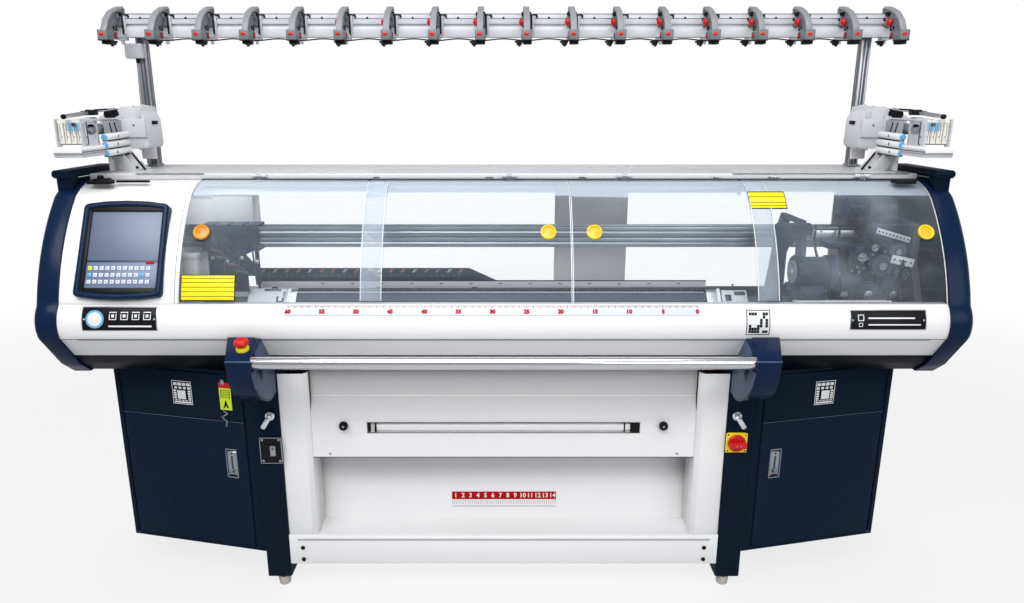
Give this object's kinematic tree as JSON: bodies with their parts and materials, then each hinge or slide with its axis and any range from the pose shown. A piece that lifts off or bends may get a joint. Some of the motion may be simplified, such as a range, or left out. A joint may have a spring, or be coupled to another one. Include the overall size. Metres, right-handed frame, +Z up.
{
  "type": "flat knitting machine",
  "caption": "Flat knitting machine with two sloping needle beds, a cam carriage under clear lifting covers, a control panel, an overhead yarn stand and a cabinet on each side.",
  "frame": {"origin": "on the floor, under the middle of the machine's bounding box", "axes": "+X to the right along the needle beds, +Y to the rear, +Z up; the operator stands at -Y"},
  "size_m": [2.8, 0.85, 1.925],
  "materials": {
    "navy_paint": "satin",
    "white_paint": "gloss",
    "pale_paint": "satin",
    "clear_cover": "clear",
    "yellow_plastic": "gloss",
    "red_plastic": "gloss",
    "black_plastic": "matt",
    "grey_plastic": "matt",
    "screen_face": "gloss",
    "chrome": "polished",
    "steel": "brushed",
    "dark_steel": "oiled",
    "aluminium": "satin",
    "beam_paint": "satin",
    "roller_rubber": "matt"
  },
  "bodies": {
    "frame": {"leg_right": "navy_paint", "leg_left": "navy_paint", "levelling_feet": "steel", "main_beam": "beam_paint", "end_frames": "beam_paint", "end_cap_right": "navy_paint", "end_cap_left": "navy_paint", "grab_rails": "navy_paint", "control_cover": "white_paint", "control_bezel": "navy_paint", "operator_panel": "screen_face", "front_apron": "white_paint", "lower_strip": "pale_paint", "underside_trim": "navy_paint", "top_deck": "white_paint", "rear_cover": "pale_paint", "needle_bed_front": "steel", "needle_bed_rear": "steel", "bed_end_blocks": "aluminium", "stop_bar": "dark_steel", "yarn_rails": "aluminium", "guide_rods": "chrome", "handle_brackets": "navy_paint", "stop_collar": "yellow_plastic", "column_covers": "white_paint", "tray": "white_paint", "guard_panel": "white_paint", "cabinet_right": "navy_paint", "cabinet_left": "navy_paint", "switch_plate": "yellow_plastic", "rocker_frame": "black_plastic", "roller_bearings": "beam_paint", "yarn_posts": "aluminium", "yarn_bar": "aluminium", "yarn_units": "grey_plastic", "feeder_frame_right": "aluminium", "feeder_frame_left": "aluminium"},
    "left_window": {"window_left": "clear_cover", "window_left_knobs": "yellow_plastic"},
    "right_window": {"window_right": "clear_cover", "window_right_knobs": "yellow_plastic"},
    "carriage": {"carriage_bridge": "dark_steel", "carriage_cam_boxes": "dark_steel"},
    "carriers": {"yarn_carriers": "dark_steel"},
    "start_bar": {"operating_bar": "chrome"},
    "stop_push": {"stop_button": "red_plastic"},
    "main_switch": {"switch_knob": "red_plastic"},
    "mains_rocker": {"rocker": "black_plastic"},
    "right_catch": {"catch_right": "chrome"},
    "left_catch": {"catch_left": "chrome"},
    "right_door": {"door_right": "navy_paint"},
    "left_door": {"door_left": "navy_paint"},
    "right_door_handle": {"door_handle_right": "chrome"},
    "left_door_handle": {"door_handle_left": "chrome"},
    "main_roller": {"takedown_roller": "roller_rubber"},
    "pressing_roller": {"press_roller": "steel"},
    "right_feeder_roller": {"feeder_roller_right": "black_plastic"},
    "left_feeder_roller": {"feeder_roller_left": "black_plastic"},
    "right_loops": {"tension_loops_right": "steel"},
    "left_loops": {"tension_loops_left": "steel"}
  },
  "joints": [
    {"name": "left_window_lift", "type": "hinge", "parent": "frame", "child": "left_window", "pos_m": [-0.3815, -0.025, 1.386], "axis": [-1, 0, 0], "range_deg": [0, 50]},
    {"name": "right_window_lift", "type": "hinge", "parent": "frame", "child": "right_window", "pos_m": [0.7675, -0.025, 1.386], "axis": [-1, 0, 0], "range_deg": [0, 50]},
    {"name": "carriage_traverse", "type": "slide", "parent": "frame", "child": "carriage", "axis": [1, 0, 0], "range_m": [-1.8, 0]},
    {"name": "carrier_traverse", "type": "slide", "parent": "frame", "child": "carriers", "axis": [1, 0, 0], "range_m": [-0.2, 1.5]},
    {"name": "start_bar_turn", "type": "hinge", "parent": "frame", "child": "start_bar", "pos_m": [0, -0.4, 0.884], "axis": [1, 0, 0], "range_deg": [-25, 25]},
    {"name": "stop_press", "type": "slide", "parent": "frame", "child": "stop_push", "axis": [0, 0.2969, -0.9549], "range_m": [0, 0.006], "stiffness_N_per_m": 600, "springref_m": -0.004},
    {"name": "main_switch_turn", "type": "hinge", "parent": "frame", "child": "main_switch", "pos_m": [0.758, -0.21, 0.542], "axis": [0, 1, 0], "range_deg": [0, 90]},
    {"name": "rocker_tip", "type": "hinge", "parent": "frame", "child": "mains_rocker", "pos_m": [-0.758, -0.205, 0.515], "axis": [1, 0, 0], "range_deg": [-10, 0]},
    {"name": "right_catch_turn", "type": "hinge", "parent": "frame", "child": "right_catch", "pos_m": [0.751, -0.208, 0.638], "axis": [0, 1, 0], "range_deg": [-60, 90]},
    {"name": "left_catch_turn", "type": "hinge", "parent": "frame", "child": "left_catch", "pos_m": [-0.751, -0.208, 0.638], "axis": [0, -1, 0], "range_deg": [-60, 90]},
    {"name": "right_door_swing", "type": "hinge", "parent": "frame", "child": "right_door", "pos_m": [1.28137, -0.07039, 0.4515], "axis": [0, 0, 1], "range_deg": [0, 95]},
    {"name": "left_door_swing", "type": "hinge", "parent": "frame", "child": "left_door", "pos_m": [-1.28137, -0.07039, 0.4515], "axis": [0, 0, -1], "range_deg": [0, 95]},
    {"name": "right_handle_lift", "type": "hinge", "parent": "right_door", "child": "right_door_handle", "pos_m": [0.90382, -0.15979, 0.4865], "axis": [-0.9748, -0.2229, 0], "range_deg": [0, 40]},
    {"name": "left_handle_lift", "type": "hinge", "parent": "left_door", "child": "left_door_handle", "pos_m": [-0.90382, -0.15979, 0.4865], "axis": [-0.9748, 0.2229, 0], "range_deg": [0, 40]},
    {"name": "takedown_turn", "type": "hinge", "parent": "frame", "child": "main_roller", "pos_m": [0, 0.02, 0.69], "axis": [1, 0, 0], "continuous": true},
    {"name": "press_turn", "type": "hinge", "parent": "frame", "child": "pressing_roller", "pos_m": [0, -0.0363, 0.69], "axis": [1, 0, 0], "continuous": true},
    {"name": "right_feeder_turn", "type": "hinge", "parent": "frame", "child": "right_feeder_roller", "pos_m": [1.302, 0.044, 1.53], "axis": [0, 1, 0], "continuous": true},
    {"name": "left_feeder_turn", "type": "hinge", "parent": "frame", "child": "left_feeder_roller", "pos_m": [-1.302, 0.044, 1.53], "axis": [0, 1, 0], "continuous": true},
    {"name": "right_loops_swing", "type": "hinge", "parent": "frame", "child": "right_loops", "pos_m": [1.302, -0.14, 1.556], "axis": [1, 0, 0], "range_deg": [-15, 15]},
    {"name": "left_loops_swing", "type": "hinge", "parent": "frame", "child": "left_loops", "pos_m": [-1.302, -0.14, 1.556], "axis": [1, 0, 0], "range_deg": [-15, 15]}
  ],
  "couplings": [
    {"joint": "press_turn", "follows": "takedown_turn", "ratio": -1.3333}
  ]
}
